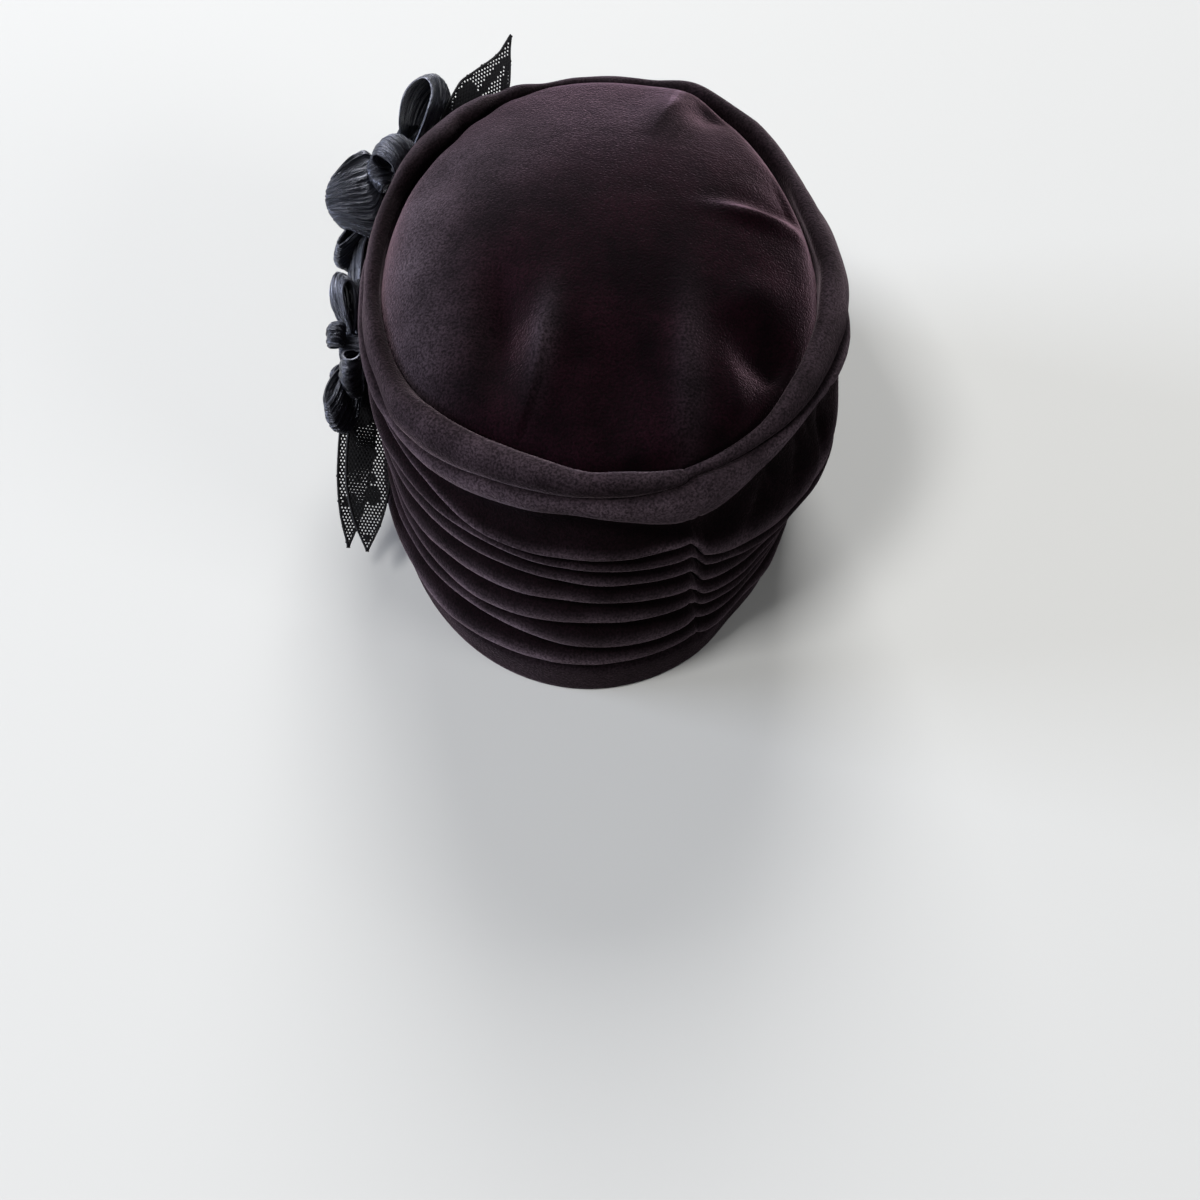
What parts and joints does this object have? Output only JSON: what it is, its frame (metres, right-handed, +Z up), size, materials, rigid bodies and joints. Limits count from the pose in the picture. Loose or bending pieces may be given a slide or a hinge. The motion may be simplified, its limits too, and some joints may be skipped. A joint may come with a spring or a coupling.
{
  "type": "toque hat",
  "caption": "Soft velvet toque: domed crown panel, folded side drape with a join, plain hem band, and a side trim of looped ribbon blossoms with lace leaves. Worn on the head.",
  "frame": {"origin": "middle of the whole hat's footprint, trim counted, at the level of the rim that it rests on", "axes": "+Z up from the rim to the crown, +Y towards the back of the wearer's head, +X towards the wearer's left, where the trim is"},
  "size_m": [0.1924, 0.2204, 0.1285],
  "materials": {
    "velvet": "aubergine-black cotton velvet with a short pile and a pale sheen",
    "ribbon": "black viscose ribbon with glossy lengthwise threads",
    "lace": "black cotton net lace with dense leaf motifs and a corded edge"
  },
  "bodies": {
    "root": {"crown_panel": "velvet", "side_drape": "velvet", "hem_band": "velvet", "front_blossom_knot": "ribbon", "front_blossom_petal_1": "ribbon", "front_blossom_petal_2": "ribbon", "front_blossom_petal_3": "ribbon", "front_blossom_petal_4": "ribbon", "front_blossom_petal_5": "ribbon", "front_blossom_petal_6": "ribbon", "front_blossom_petal_7": "ribbon", "front_blossom_petal_8": "ribbon", "front_blossom_petal_9": "ribbon", "back_blossom_knot": "ribbon", "back_blossom_petal_1": "ribbon", "back_blossom_petal_2": "ribbon", "back_blossom_petal_3": "ribbon", "back_blossom_petal_4": "ribbon", "back_blossom_petal_5": "ribbon", "back_blossom_petal_6": "ribbon", "back_blossom_petal_7": "ribbon", "back_blossom_petal_8": "ribbon", "back_blossom_petal_9": "ribbon", "back_blossom_petal_10": "ribbon", "back_blossom_petal_11": "ribbon", "lace_leaf_upper": "lace", "lace_leaf_lower_1": "lace", "lace_leaf_lower_2": "lace"}
  },
  "joints": []
}
